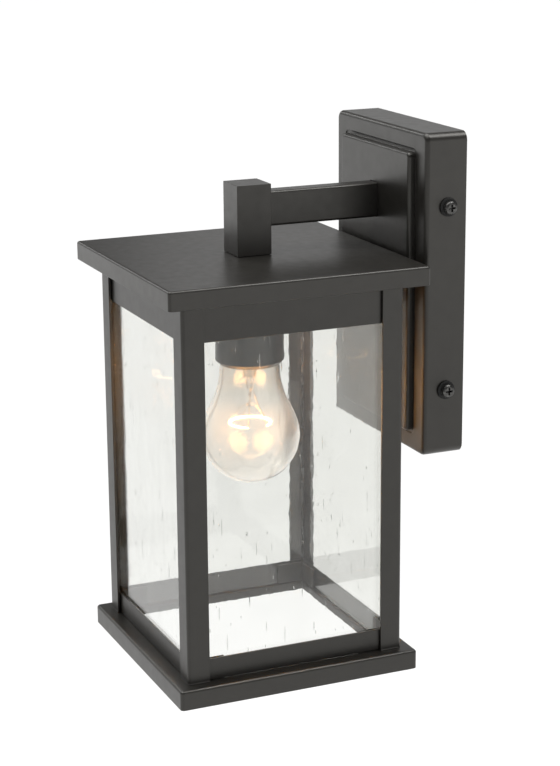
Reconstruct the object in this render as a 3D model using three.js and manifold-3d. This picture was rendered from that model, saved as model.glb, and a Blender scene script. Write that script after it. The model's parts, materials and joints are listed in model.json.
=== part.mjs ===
// Outdoor wall lantern with one screw-in bulb: a square steel cage with four seeded glass panes,
// hung from a block on a short arm that stands out of a pressed backplate.
// Millimetres, +Z up. The origin is the centre of the backplate's back plane, which lies on the
// wall at Y = 0. The lantern stands out towards -Y, and +X is to the right of a person facing it.

import * as THREE from 'three';
import { mergeVertices } from 'three/addons/utils/BufferGeometryUtils.js';
import Module from 'manifold-3d';

const wasm = await Module();
wasm.setup();

// Clearance left between pieces that touch on the real object.
const GAP = 0.3;

// Backplate, a pressed tray that stands on the wall.
const PLATE_WIDTH = 121;
const PLATE_HEIGHT = 194.4;
const PLATE_DEPTH = 26.6;
const PLATE_SHEET = 1.6;
const PLATE_CORNER_RADIUS = 5;
const PLATE_EDGE_RADIUS = 2.8;
const PANEL_WIDTH = 92;
const PANEL_HEIGHT = 169;
const PANEL_RISE = 4.2;
const GROOVE_WIDTH = 2;
const GROOVE_DEPTH = 0.7;

// Side screws, which hold the backplate to the mounting pan.
const SIDE_SCREW_UPPER = 53.6;
const SIDE_SCREW_LOWER = -56.9;
const SIDE_SCREW_FROM_WALL = 12;
const SIDE_SCREW_SHANK_RADIUS = 2;
const SIDE_SCREW_HEAD_RADIUS = 4;
const SIDE_SCREW_HEAD_HEIGHT = 3.2;
const SIDE_SCREW_LENGTH = 9;
const WASHER_RADIUS = 5.6;
const WASHER_THICKNESS = 1.2;

// Mounting pan, which is screwed to the junction box in the wall.
const PAN_HEIGHT = 130;
const PAN_DEPTH = 19;
const PAN_SHEET = 2;
const PAN_WIRE_HOLE_RADIUS = 14;
const BOX_SCREW_SPACING_NARROW = 69.85;
const BOX_SCREW_SPACING_WIDE = 88.9;
const BOX_SLOT_WIDTH = 5;

// Arm and the block at its end.
const ARM_WIDTH = 11.5;
const ARM_HEIGHT = 21;
const ARM_SHEET = 1.2;
const ARM_ABOVE_ROOF = 26.5;
const ARM_END_PLATE = [34, 48, 2];
const ARM_STUD_SPREAD = 17;
const BLOCK_WIDTH = 21.6;
const BLOCK_HEIGHT = 42.4;

// Lantern body. Its own origin is the middle of the roof's top face.
const REACH = 113.7;
const ROOF_ABOVE_CENTRE = 24.1;
const SHEET = 1.2;
const ROOF_WIDTH = 161;
const ROOF_DROP = 11.4;
const CAGE_WIDTH = 138;
const CAGE_BOTTOM = -237.7;
const POST_LEG = 13.5;
const POST_SHEET = 1.6;
const RAIL_SETBACK = 2.1;
const TOP_RAIL_SHOWING = 22.8;
const BOTTOM_RAIL_HEIGHT = 13.2;
const BASE_WIDTH = 153;
const BASE_HEIGHT = 11.9;
const BASE_OPENING = 121.7;
const BASE_LIP = 5.2;
const PRESSED_EDGE_RADIUS = 1.6;
const PRESSED_CORNER_RADIUS = 2;
const GLASS_THICKNESS = 2.6;
const CLIP_WING = 18;
const CLIP_HEIGHT = 12.6;
const CLIP_SHEET = 1;

// Threaded tube, nuts and washer on the lantern's axis.
const NIPPLE_RADIUS = 4.9;
const NIPPLE_BORE_RADIUS = 3.4;
const NIPPLE_TOP = 18;
const NIPPLE_BOTTOM = -17.4;
const NUT_ACROSS_FLATS = 14;
const NUT_HEIGHT = 3.2;

// Lampholder.
const CUP_TOP = -11.6;
const CUP_BOTTOM = -66.6;
const CUP_RADIUS = 20.7;
const CUP_RIM_RADIUS = 18.9;
const CUP_CHAMFER = 2.2;
const CUP_SHEET = 1;
const SOCKET_TOP = -18.5;
const SOCKET_BOTTOM = -59.8;
const SOCKET_RADIUS = 18.4;
const SCREW_SHELL_RADIUS = 13.4;
const SCREW_SHELL_SHEET = 0.5;

// Bulb with a 26 mm screw cap.
const BULB_CENTRE = -111.7;
const BULB_RADIUS = 30;
const BULB_GLASS = 0.8;
const NECK_RADIUS = 18.3;
const NECK_TOP = -61;
const NECK_TOP_RADIUS = 13.2;
const CAP_RADIUS = 12.9;
const CAP_TOP = -38.7;
const CONTACT_TOP = -33.7;
const FILAMENT_HEIGHT = -104.5;
const FILAMENT_RING_RADIUS = 12.5;
const FILAMENT_RADIUS = 0.5;
const LEAD_RADIUS = 0.4;

const SIDES = [
  { name: 'front', turn: 0 },
  { name: 'right', turn: Math.PI / 2 },
  { name: 'rear', turn: Math.PI },
  { name: 'left', turn: -Math.PI / 2 },
];

const FINISHES = {
  blackPaint: { color: 0x3a3a38, roughness: 0.45, metalness: 0.3 },
  blackRubber: { color: 0x161616, roughness: 0.7, metalness: 0 },
  blackScrew: { color: 0x2a2a2a, roughness: 0.4, metalness: 0.7 },
  zincSteel: { color: 0xb4b7b8, roughness: 0.35, metalness: 1 },
  greenSteel: { color: 0x2f7a45, roughness: 0.4, metalness: 0.8 },
  seededGlass: { color: 0xeef2f0, roughness: 0.05, metalness: 0, transparent: true, opacity: 0.3 },
  clearGlass: { color: 0xf4f6f6, roughness: 0.02, metalness: 0, transparent: true, opacity: 0.25 },
  porcelain: { color: 0xeeebe2, roughness: 0.25, metalness: 0 },
  brass: { color: 0xb08d4a, roughness: 0.35, metalness: 1 },
  nickel: { color: 0xc4c2ba, roughness: 0.3, metalness: 1 },
  blackGlass: { color: 0x101012, roughness: 0.1, metalness: 0 },
  tungsten: { color: 0xffc890, roughness: 0.5, metalness: 0.5 },
};

const materials = new Map();

function finish(name) {
  if (!materials.has(name)) {
    materials.set(name, new THREE.MeshStandardMaterial({ name, ...FINISHES[name] }));
  }
  return materials.get(name);
}

// Geometry helpers ---------------------------------------------------------------------------

// Keeps positions only, shares equal vertices and turns every face outwards.
function closed(geometry) {
  const bare = geometry.clone();
  bare.deleteAttribute('normal');
  bare.deleteAttribute('uv');
  const merged = mergeVertices(bare, 1e-4);
  const position = merged.getAttribute('position');
  const index = Array.from(merged.getIndex().array);
  const a = new THREE.Vector3();
  const b = new THREE.Vector3();
  const c = new THREE.Vector3();
  let volume = 0;
  const kept = [];
  for (let i = 0; i < index.length; i += 3) {
    const corner = index.slice(i, i + 3);
    if (new Set(corner).size < 3) continue;
    kept.push(corner);
    a.fromBufferAttribute(position, corner[0]);
    b.fromBufferAttribute(position, corner[1]);
    c.fromBufferAttribute(position, corner[2]);
    volume += a.dot(b.cross(c));
  }
  merged.setIndex((volume < 0 ? kept.map(([p, q, r]) => [p, r, q]) : kept).flat());
  return merged;
}

function toSolid(geometry) {
  const shape = closed(geometry);
  const vertProperties = new Float32Array(shape.getAttribute('position').array);
  const triVerts = new Uint32Array(shape.getIndex().array);
  return new wasm.Manifold(new wasm.Mesh({ numProp: 3, vertProperties, triVerts }));
}

function toGeometry(solid) {
  const mesh = solid.getMesh();
  const geometry = new THREE.BufferGeometry();
  geometry.setAttribute('position', new THREE.Float32BufferAttribute(mesh.vertProperties, 3));
  geometry.setIndex(Array.from(mesh.triVerts));
  return geometry;
}

function cut(geometry, ...tools) {
  return toGeometry(tools.reduce((solid, tool) => solid.subtract(toSolid(tool)), toSolid(geometry)));
}

function join(geometry, ...others) {
  return toGeometry(others.reduce((solid, other) => solid.add(toSolid(other)), toSolid(geometry)));
}

function common(geometry, other) {
  return toGeometry(toSolid(geometry).intersect(toSolid(other)));
}

function box(x0, x1, y0, y1, z0, z1) {
  const geometry = new THREE.BoxGeometry(x1 - x0, y1 - y0, z1 - z0);
  return geometry.translate((x0 + x1) / 2, (y0 + y1) / 2, (z0 + z1) / 2);
}

// A solid turned about Z from (radius, height) points.
function turned(profile, segments = 32) {
  const points = profile.map(([radius, height]) => new THREE.Vector2(radius, height));
  return closed(new THREE.LatheGeometry(points, segments).rotateX(Math.PI / 2));
}

// A tube about Z, or a plain cylinder where the bore radius is 0.
function pipe(radius, bore, z0, z1, segments = 24) {
  const profile = bore > 0
    ? [[bore, z0], [radius, z0], [radius, z1], [bore, z1], [bore, z0]]
    : [[0, z0], [radius, z0], [radius, z1], [0, z1]];
  return turned(profile, segments);
}

function hexagon(acrossFlats, z0, z1) {
  return pipe(acrossFlats / Math.sqrt(3), 0, z0, z1, 6);
}

function alongX(geometry) {
  return geometry.clone().rotateY(Math.PI / 2);
}

function alongY(geometry) {
  return geometry.clone().rotateX(-Math.PI / 2);
}

function roundedOutline(width, length, radius) {
  const x = width / 2 - radius;
  const y = length / 2 - radius;
  const outline = new THREE.Shape();
  outline.absarc(x, -y, radius, -Math.PI / 2, 0);
  outline.absarc(x, y, radius, 0, Math.PI / 2);
  outline.absarc(-x, y, radius, Math.PI / 2, Math.PI);
  outline.absarc(-x, -y, radius, Math.PI, 1.5 * Math.PI);
  outline.closePath();
  return outline;
}

// A block that stands on Z = 0 with round vertical corners and round top edges.
function pressedBlock(width, length, height, cornerRadius, edgeRadius) {
  const spare = 2 * edgeRadius;
  const geometry = new THREE.ExtrudeGeometry(roundedOutline(width, length, cornerRadius), {
    depth: height - edgeRadius + spare,
    curveSegments: 2,
    bevelEnabled: true,
    bevelThickness: edgeRadius,
    bevelSize: edgeRadius,
    bevelOffset: -edgeRadius,
    bevelSegments: 3,
  });
  geometry.translate(0, 0, -spare);
  return common(geometry, box(-width, width, -length, length, 0, 2 * height));
}

// A pressed sheet tray, open at Z = 0.
function tray(width, length, height, sheet, cornerRadius, edgeRadius) {
  const inner = pressedBlock(
    width - 2 * sheet,
    length - 2 * sheet,
    height - sheet + 1,
    cornerRadius - sheet / 2,
    edgeRadius - sheet / 2,
  );
  inner.translate(0, 0, -1);
  return cut(pressedBlock(width, length, height, cornerRadius, edgeRadius), inner);
}

// Scene graph --------------------------------------------------------------------------------

const wallLantern = new THREE.Group();
const lantern = new THREE.Group();
lantern.position.set(0, -REACH, ROOF_ABOVE_CENTRE);
wallLantern.add(lantern);

function add(parent, name, finishName, geometry) {
  const mesh = new THREE.Mesh(geometry, finish(finishName));
  mesh.name = name;
  parent.add(mesh);
  return mesh;
}

// A group turned to one of the lantern's four sides; a piece for the front is built in it.
function side(parent, turn) {
  const group = new THREE.Group();
  group.rotation.z = turn;
  parent.add(group);
  return group;
}

// Backplate and wall fixing ------------------------------------------------------------------

const PANEL_FACE = -(PLATE_DEPTH + PANEL_RISE);
const PANEL_BACK = PANEL_FACE + PLATE_SHEET;
const ARM_Z = ROOF_ABOVE_CENTRE + ARM_ABOVE_ROOF;

function sideScrewPlaces() {
  const places = [];
  for (const [hand, sign] of [['right', 1], ['left', -1]]) {
    places.push({ name: `${hand}_upper`, sign, z: SIDE_SCREW_UPPER });
    places.push({ name: `${hand}_lower`, sign, z: SIDE_SCREW_LOWER });
  }
  return places;
}

// The backplate is built lying on its back and then stood up against the wall.
function backplate() {
  const raised = box(
    -PANEL_WIDTH, PANEL_WIDTH, -PANEL_HEIGHT, PANEL_HEIGHT,
    PLATE_DEPTH - PLATE_SHEET, PLATE_DEPTH + 2 * PANEL_RISE,
  );
  const panel = common(
    pressedBlock(PANEL_WIDTH, PANEL_HEIGHT, PLATE_DEPTH + PANEL_RISE, 3, 1.6), raised,
  );
  const hollow = pressedBlock(
    PANEL_WIDTH - 2 * PLATE_SHEET,
    PANEL_HEIGHT - 2 * PLATE_SHEET,
    PLATE_DEPTH + PANEL_RISE - PLATE_SHEET + 1,
    2,
    1,
  ).translate(0, 0, -1);
  const grooveOutside = pressedBlock(
    PANEL_WIDTH + 2 * GROOVE_WIDTH,
    PANEL_HEIGHT + 2 * GROOVE_WIDTH,
    2 * GROOVE_DEPTH,
    4,
    0.4,
  );
  const groove = cut(grooveOutside, box(
    -PANEL_WIDTH / 2, PANEL_WIDTH / 2, -PANEL_HEIGHT / 2, PANEL_HEIGHT / 2, -1, 3 * GROOVE_DEPTH,
  )).translate(0, 0, PLATE_DEPTH - GROOVE_DEPTH);
  const shell = tray(
    PLATE_WIDTH, PLATE_HEIGHT, PLATE_DEPTH, PLATE_SHEET, PLATE_CORNER_RADIUS, PLATE_EDGE_RADIUS,
  );
  const pressed = cut(join(cut(shell, groove), panel), hollow).rotateX(Math.PI / 2);
  const holes = sideScrewPlaces().map(({ sign, z }) => alongX(
    pipe(SIDE_SCREW_SHANK_RADIUS + GAP, 0, 0, 10, 16),
  ).translate(sign * PLATE_WIDTH / 2 - 5, -SIDE_SCREW_FROM_WALL, z));
  const armHole = box(
    -ARM_WIDTH / 2 - GAP, ARM_WIDTH / 2 + GAP, PANEL_FACE - 5, PANEL_BACK + 5,
    ARM_Z - ARM_HEIGHT / 2 - GAP, ARM_Z + ARM_HEIGHT / 2 + GAP,
  );
  return cut(pressed, armHole, ...holes);
}

// A flat web on the wall with a flange along each side, held by slots to the junction box.
function mountingPan() {
  const half = PLATE_WIDTH / 2 - PLATE_SHEET - GAP;
  const outside = box(-half, half, -PAN_DEPTH, 0, -PAN_HEIGHT / 2, PAN_HEIGHT / 2);
  const inside = box(
    -half + PAN_SHEET, half - PAN_SHEET, -PAN_DEPTH - 1, -PAN_SHEET, -PAN_HEIGHT, PAN_HEIGHT,
  );
  const wireHole = alongY(pipe(PAN_WIRE_HOLE_RADIUS, 0, -5, 5, 24));
  const slots = [-1, 1].map((sign) => {
    const centre = sign * (BOX_SCREW_SPACING_NARROW + BOX_SCREW_SPACING_WIDE) / 4;
    const reach = (BOX_SCREW_SPACING_WIDE - BOX_SCREW_SPACING_NARROW) / 4 + BOX_SLOT_WIDTH / 2;
    return box(centre - reach, centre + reach, -5, 5, -BOX_SLOT_WIDTH / 2, BOX_SLOT_WIDTH / 2);
  });
  const taps = sideScrewPlaces().map(({ sign, z }) => alongX(
    pipe(SIDE_SCREW_SHANK_RADIUS + GAP, 0, 0, 10, 16),
  ).translate(sign * half - 5, -SIDE_SCREW_FROM_WALL, z));
  const groundTap = alongY(pipe(2 + GAP, 0, -5, 5, 12)).translate(0, 0, -36);
  return cut(outside, inside, wireHole, groundTap, ...slots, ...taps);
}

// A domed head with a cross recess and a plain shank; the head's underside is at Z = 0.
function panHeadScrew(headRadius, headHeight, shankRadius, shankLength) {
  const flank = 0.55 * headHeight;
  const body = turned([
    [0, -shankLength],
    [shankRadius, -shankLength],
    [shankRadius, 0],
    [headRadius, 0],
    [headRadius, flank],
    [0.82 * headRadius, 0.85 * headHeight],
    [0.45 * headRadius, headHeight],
    [0, headHeight],
  ], 20);
  const arm = 0.55 * headRadius;
  const slot = 0.14 * headRadius;
  const floor = 0.35 * headHeight;
  return cut(
    body,
    box(-arm, arm, -slot, slot, floor, 2 * headHeight),
    box(-slot, slot, -arm, arm, floor, 2 * headHeight),
  );
}

add(wallLantern, 'backplate', 'blackPaint', backplate());
add(wallLantern, 'mounting_pan', 'zincSteel', mountingPan());

for (const { name, sign, z } of sideScrewPlaces()) {
  const place = new THREE.Group();
  place.position.set(sign * (PLATE_WIDTH / 2 + GAP), -SIDE_SCREW_FROM_WALL, z);
  place.rotation.y = sign * Math.PI / 2;
  wallLantern.add(place);
  const underHead = WASHER_THICKNESS + GAP;
  const washer = pipe(WASHER_RADIUS, SIDE_SCREW_SHANK_RADIUS + GAP, 0, WASHER_THICKNESS, 24);
  add(place, `side_screw_washer_${name}`, 'blackRubber', washer);
  const screw = panHeadScrew(
    SIDE_SCREW_HEAD_RADIUS, SIDE_SCREW_HEAD_HEIGHT, SIDE_SCREW_SHANK_RADIUS, SIDE_SCREW_LENGTH,
  );
  add(place, `side_screw_${name}`, 'blackScrew', screw.translate(0, 0, underHead));
}

const groundScrew = alongY(panHeadScrew(4.5, 2.6, 2, 1.8)).rotateZ(Math.PI);
groundScrew.translate(0, -PAN_SHEET - GAP, -36);
add(wallLantern, 'ground_screw', 'greenSteel', groundScrew);

// Arm ----------------------------------------------------------------------------------------

const ARM_START = -REACH + BLOCK_WIDTH / 2 + GAP;

function armTube() {
  const outline = roundedOutline(ARM_WIDTH, ARM_HEIGHT, 1.5);
  outline.holes.push(roundedOutline(ARM_WIDTH - 2 * ARM_SHEET, ARM_HEIGHT - 2 * ARM_SHEET, 0.6));
  const length = PANEL_BACK - ARM_START;
  const geometry = new THREE.ExtrudeGeometry(outline, {
    depth: length, curveSegments: 2, bevelEnabled: false,
  });
  return closed(geometry.rotateX(Math.PI / 2).translate(0, ARM_START + length, ARM_Z));
}

function armEndPlate() {
  const [width, height, thickness] = ARM_END_PLATE;
  const front = PANEL_BACK + GAP;
  const plate = box(
    -width / 2, width / 2, front, front + thickness, ARM_Z - height / 2, ARM_Z + height / 2,
  );
  const wireHole = box(-3.5, 3.5, front - 5, front + 5, ARM_Z - 8, ARM_Z + 8);
  const studHoles = [-1, 1].map((sign) => alongY(pipe(2.3, 0, -5, 5, 12)).translate(
    0, front, ARM_Z + sign * ARM_STUD_SPREAD,
  ));
  return cut(plate, wireHole, ...studHoles);
}

add(wallLantern, 'arm_tube', 'blackPaint', armTube());
add(wallLantern, 'arm_end_plate', 'zincSteel', armEndPlate());
for (const [name, sign] of [['upper', 1], ['lower', -1]]) {
  const z = ARM_Z + sign * ARM_STUD_SPREAD;
  const stud = alongY(pipe(2, 0, 0, 9, 12)).translate(0, PANEL_BACK + GAP, z);
  add(wallLantern, `weld_stud_${name}`, 'zincSteel', stud);
  const nut = cut(hexagon(7, 0, NUT_HEIGHT), pipe(2 + GAP, 0, -1, NUT_HEIGHT + 1, 12));
  const nutFront = PANEL_BACK + ARM_END_PLATE[2] + 2 * GAP;
  add(wallLantern, `stud_nut_${name}`, 'zincSteel', alongY(nut).translate(0, nutFront, z));
}

// The block is bored for the threaded tube, and a side hole lets the wires in from the arm.
function hangerBlock() {
  const half = BLOCK_WIDTH / 2;
  const body = box(-half, half, -half, half, GAP, BLOCK_HEIGHT);
  const bore = pipe(NIPPLE_RADIUS + GAP, 0, -1, ARM_ABOVE_ROOF + 6, 24);
  const wireHole = alongY(pipe(3.8, 0, 0, BLOCK_WIDTH, 16)).translate(0, 0, ARM_ABOVE_ROOF);
  return cut(body, bore, wireHole);
}

add(lantern, 'hanger_block', 'blackPaint', hangerBlock());

// Roof, cage and base ------------------------------------------------------------------------

const HALF_CAGE = CAGE_WIDTH / 2;
const RAIL_FACE = HALF_CAGE - RAIL_SETBACK;
const RAIL_BACK = RAIL_FACE - SHEET;
const GLASS_FACE = RAIL_BACK - GAP;
const GLASS_BACK = GLASS_FACE - GLASS_THICKNESS;
const POST_TOP = -SHEET - GAP;
const FOOT = CAGE_BOTTOM + GAP;

function roof() {
  const shell = tray(
    ROOF_WIDTH, ROOF_WIDTH, ROOF_DROP, SHEET, PRESSED_CORNER_RADIUS, PRESSED_EDGE_RADIUS,
  ).translate(0, 0, -ROOF_DROP);
  return cut(shell, pipe(NIPPLE_RADIUS + GAP, 0, -5, 5, 24));
}

function topPlate() {
  const half = RAIL_BACK - GAP;
  const plate = box(-half, half, -half, half, POST_TOP - SHEET, POST_TOP);
  return cut(plate, pipe(NIPPLE_RADIUS + GAP, 0, POST_TOP - 5, POST_TOP + 5, 24));
}

// The corner at +X, -Y; the other three are turned copies.
function cornerPost() {
  const outer = HALF_CAGE;
  const inner = HALF_CAGE - POST_SHEET;
  const end = HALF_CAGE - POST_LEG;
  const section = new THREE.Shape();
  section.moveTo(end, -outer);
  section.absarc(outer - 1, -outer + 1, 1, -Math.PI / 2, 0);
  section.lineTo(outer, -end);
  section.lineTo(inner, -end);
  section.lineTo(inner, -inner);
  section.lineTo(end, -inner);
  section.closePath();
  const geometry = new THREE.ExtrudeGeometry(section, {
    depth: POST_TOP - FOOT, curveSegments: 2, bevelEnabled: false,
  });
  return closed(geometry.translate(0, 0, FOOT));
}

// Front and rear rails run the full width, and the two side rails fit between them.
function rail(turn, z0, z1) {
  const half = Math.abs(Math.sin(turn)) > 0.5 ? RAIL_BACK - GAP : RAIL_FACE;
  return box(-half, half, -RAIL_FACE, -RAIL_BACK, z0, z1);
}

function glassPane(turn) {
  const half = Math.abs(Math.sin(turn)) > 0.5 ? GLASS_BACK - GAP : GLASS_FACE - GAP;
  return box(-half, half, -GLASS_FACE, -GLASS_BACK, FOOT, POST_TOP - SHEET - GAP);
}

// An upright angle inside the corner at +X, -Y that keeps two panes against their rails.
function cornerClip() {
  const outer = GLASS_BACK - GAP;
  const inner = outer - CLIP_SHEET;
  const end = outer - CLIP_WING;
  const section = new THREE.Shape();
  section.moveTo(end, -outer);
  section.lineTo(outer, -outer);
  section.lineTo(outer, -end);
  section.lineTo(inner, -end);
  section.lineTo(inner, -inner);
  section.lineTo(end, -inner);
  section.closePath();
  const geometry = new THREE.ExtrudeGeometry(section, { depth: CLIP_HEIGHT, bevelEnabled: false });
  return closed(geometry.translate(0, 0, FOOT));
}

// A pressed ring with an outer skirt and a shorter lip turned down round its opening.
function baseFrame() {
  const shell = tray(
    BASE_WIDTH, BASE_WIDTH, BASE_HEIGHT, SHEET, PRESSED_CORNER_RADIUS, PRESSED_EDGE_RADIUS,
  );
  const open = BASE_OPENING / 2;
  const lipOuter = open + SHEET;
  const lip = box(-lipOuter, lipOuter, -lipOuter, lipOuter, BASE_HEIGHT - BASE_LIP, BASE_HEIGHT);
  const opening = box(-open, open, -open, open, -1, BASE_HEIGHT + 1);
  return cut(join(shell, lip), opening).translate(0, 0, CAGE_BOTTOM - BASE_HEIGHT);
}

add(lantern, 'roof', 'blackPaint', roof());
add(lantern, 'cage_top_plate', 'blackPaint', topPlate());
add(lantern, 'base_frame', 'blackPaint', baseFrame());

const CORNERS = ['front_right', 'rear_right', 'rear_left', 'front_left'];
SIDES.forEach(({ name, turn }, i) => {
  const group = side(lantern, turn);
  const topRailBottom = -ROOF_DROP - TOP_RAIL_SHOWING;
  add(group, `corner_post_${CORNERS[i]}`, 'blackPaint', cornerPost());
  add(group, `top_rail_${name}`, 'blackPaint', rail(turn, topRailBottom, POST_TOP));
  add(group, `bottom_rail_${name}`, 'blackPaint', rail(turn, FOOT, FOOT + BOTTOM_RAIL_HEIGHT));
  add(group, `glass_pane_${name}`, 'seededGlass', glassPane(turn));
  add(group, `glass_clip_${CORNERS[i]}`, 'blackPaint', cornerClip());
});

// Threaded tube and lampholder ---------------------------------------------------------------

const TOP_PLATE_BOTTOM = POST_TOP - SHEET;

function axisNut(top) {
  const bore = pipe(NIPPLE_RADIUS + GAP, 0, top - 2 * NUT_HEIGHT, top + 1, 24);
  return cut(hexagon(NUT_ACROSS_FLATS, top - NUT_HEIGHT, top), bore);
}

function socketCup() {
  const inner = CUP_RADIUS - CUP_SHEET;
  const rimInner = CUP_RIM_RADIUS - CUP_SHEET;
  const bore = NIPPLE_RADIUS + GAP;
  const shoulder = 2;
  return turned([
    [bore, CUP_TOP],
    [CUP_RADIUS - shoulder, CUP_TOP],
    [CUP_RADIUS - 0.3 * shoulder, CUP_TOP - 0.3 * shoulder],
    [CUP_RADIUS, CUP_TOP - shoulder],
    [CUP_RADIUS, CUP_BOTTOM + CUP_CHAMFER],
    [CUP_RIM_RADIUS, CUP_BOTTOM],
    [rimInner, CUP_BOTTOM],
    [inner, CUP_BOTTOM + CUP_CHAMFER],
    [inner, CUP_TOP - shoulder],
    [inner - 1, CUP_TOP - CUP_SHEET],
    [bore, CUP_TOP - CUP_SHEET],
    [bore, CUP_TOP],
  ], 40);
}

// The porcelain body has a round pocket for the screw shell and a wire hole in its top.
function socketBody() {
  const pocket = SCREW_SHELL_RADIUS + SCREW_SHELL_SHEET + GAP;
  const pocketTop = CONTACT_TOP + 3.5;
  return turned([
    [2, SOCKET_TOP],
    [SOCKET_RADIUS - 3, SOCKET_TOP],
    [SOCKET_RADIUS, SOCKET_TOP - 3],
    [SOCKET_RADIUS, SOCKET_BOTTOM + 1],
    [SOCKET_RADIUS - 1, SOCKET_BOTTOM],
    [pocket + 1, SOCKET_BOTTOM],
    [pocket, SOCKET_BOTTOM + 1],
    [pocket, pocketTop],
    [2, pocketTop],
    [2, SOCKET_TOP],
  ], 32);
}

function screwShell() {
  const outer = SCREW_SHELL_RADIUS + SCREW_SHELL_SHEET;
  return pipe(outer, SCREW_SHELL_RADIUS, SOCKET_BOTTOM + 1.5, CONTACT_TOP + 3, 32);
}

// A bent strip of spring brass over the top of the pocket.
function contactSpring() {
  const pocketTop = CONTACT_TOP + 3.5 - GAP;
  const tip = CONTACT_TOP + GAP;
  const strip = new THREE.Shape();
  strip.moveTo(-8, pocketTop);
  strip.lineTo(-8, pocketTop - 0.6);
  strip.lineTo(-3, tip);
  strip.lineTo(3, tip);
  strip.lineTo(3, tip + 0.6);
  strip.lineTo(-2.6, tip + 0.6);
  strip.lineTo(-7, pocketTop);
  strip.closePath();
  const geometry = new THREE.ExtrudeGeometry(strip, { depth: 5, bevelEnabled: false });
  return closed(geometry.translate(0, 0, -2.5).rotateX(Math.PI / 2));
}

add(lantern, 'threaded_tube', 'zincSteel', pipe(
  NIPPLE_RADIUS, NIPPLE_BORE_RADIUS, NIPPLE_BOTTOM, NIPPLE_TOP,
));
const washerTop = TOP_PLATE_BOTTOM - GAP;
add(lantern, 'roof_lock_washer', 'zincSteel', pipe(
  8.2, NIPPLE_RADIUS + GAP, washerTop - 1, washerTop,
));
add(lantern, 'roof_nut', 'zincSteel', axisNut(washerTop - 1 - GAP));
add(lantern, 'socket_nut', 'zincSteel', axisNut(CUP_TOP - CUP_SHEET - GAP));
add(lantern, 'socket_cup', 'blackPaint', socketCup());
add(lantern, 'socket_body', 'porcelain', socketBody());
add(lantern, 'socket_screw_shell', 'brass', screwShell());
add(lantern, 'socket_contact_spring', 'brass', contactSpring());

// Bulb ---------------------------------------------------------------------------------------

// The round end meets the neck in one smooth S-shaped sweep. Returns (radius, height) points
// from the bottom of the bulb up to the top of its neck, set inwards by the given amount.
function bulbProfile(inset) {
  const radius = BULB_RADIUS - inset;
  const points = [];
  const roundSteps = 9;
  const roundEnd = 0.13 * Math.PI;
  for (let i = 0; i <= roundSteps; i += 1) {
    const angle = -Math.PI / 2 + (i / roundSteps) * (Math.PI / 2 + roundEnd);
    points.push([radius * Math.cos(angle), BULB_CENTRE + radius * Math.sin(angle)]);
  }
  points[0][0] = 0;
  const [startRadius, startHeight] = points[points.length - 1];
  const neckHeight = CUP_BOTTOM - 4;
  const sweep = new THREE.CubicBezierCurve(
    new THREE.Vector2(startRadius, startHeight),
    new THREE.Vector2(startRadius - 9 * Math.sin(roundEnd), startHeight + 9 * Math.cos(roundEnd)),
    new THREE.Vector2(NECK_RADIUS - inset, neckHeight - 12),
    new THREE.Vector2(NECK_RADIUS - inset, neckHeight),
  );
  sweep.getPoints(5).slice(1).forEach((point) => points.push([point.x, point.y]));
  const shoulder = new THREE.CubicBezierCurve(
    new THREE.Vector2(NECK_RADIUS - inset, neckHeight),
    new THREE.Vector2(NECK_RADIUS - inset, neckHeight + 5),
    new THREE.Vector2(NECK_TOP_RADIUS - inset, NECK_TOP - 4),
    new THREE.Vector2(NECK_TOP_RADIUS - inset, NECK_TOP),
  );
  shoulder.getPoints(4).slice(1).forEach((point) => points.push([point.x, point.y]));
  return points;
}

function bulbEnvelope() {
  return turned([...bulbProfile(0), ...bulbProfile(BULB_GLASS).reverse()], 28);
}

// The glass flare and tube that carry the lead wires up from the cap.
function bulbStem() {
  return turned([
    [0, -94],
    [1.6, -93.4],
    [2.2, -92],
    [2.2, -84],
    [3.2, -80],
    [3.6, -72],
    [6.5, -66],
    [9.5, -62.5],
    [9.5, -61.6],
    [0, -61.6],
  ], 16);
}

// A coil of fine wire bent into an open ring, drawn as one round bar.
function filament() {
  const openAngle = 0.5;
  const ring = new THREE.CatmullRomCurve3(Array.from({ length: 17 }, (_, i) => {
    const angle = openAngle + (i / 16) * (2 * Math.PI - 2 * openAngle);
    return new THREE.Vector3(
      FILAMENT_RING_RADIUS * Math.cos(angle), FILAMENT_RING_RADIUS * Math.sin(angle), 0,
    );
  }));
  const section = new THREE.Shape();
  section.absarc(0, 0, FILAMENT_RADIUS, 0, 2 * Math.PI);
  const geometry = new THREE.ExtrudeGeometry(section, {
    steps: 32, curveSegments: 3, extrudePath: ring, bevelEnabled: false,
  });
  return closed(geometry.translate(0, 0, FILAMENT_HEIGHT));
}

// One lead wire from the stem down and out to an end of the filament.
function leadWire(sign) {
  const end = new THREE.Vector3(
    FILAMENT_RING_RADIUS * Math.cos(0.5),
    sign * FILAMENT_RING_RADIUS * Math.sin(0.5),
    FILAMENT_HEIGHT + FILAMENT_RADIUS + LEAD_RADIUS + GAP,
  );
  const path = new THREE.CatmullRomCurve3([
    new THREE.Vector3(3.4, sign * 1.6, -84),
    new THREE.Vector3(4.2, sign * 2.2, -90),
    new THREE.Vector3(8, sign * 4.2, -97),
    end,
  ]);
  const section = new THREE.Shape();
  section.absarc(0, 0, LEAD_RADIUS, 0, 2 * Math.PI);
  return closed(new THREE.ExtrudeGeometry(section, {
    steps: 10, curveSegments: 3, extrudePath: path, bevelEnabled: false,
  }));
}

function bulbCap() {
  const wall = 0.6;
  return turned([
    [CAP_RADIUS - wall, NECK_TOP + GAP],
    [CAP_RADIUS, NECK_TOP + GAP],
    [CAP_RADIUS, CAP_TOP + 1.5],
    [CAP_RADIUS - 1.5, CAP_TOP],
    [8.5, CAP_TOP],
    [8.5, CAP_TOP - wall],
    [CAP_RADIUS - 1.8, CAP_TOP - wall],
    [CAP_RADIUS - wall, CAP_TOP + 1.2 - wall],
    [CAP_RADIUS - wall, NECK_TOP + GAP],
  ], 32);
}

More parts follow.
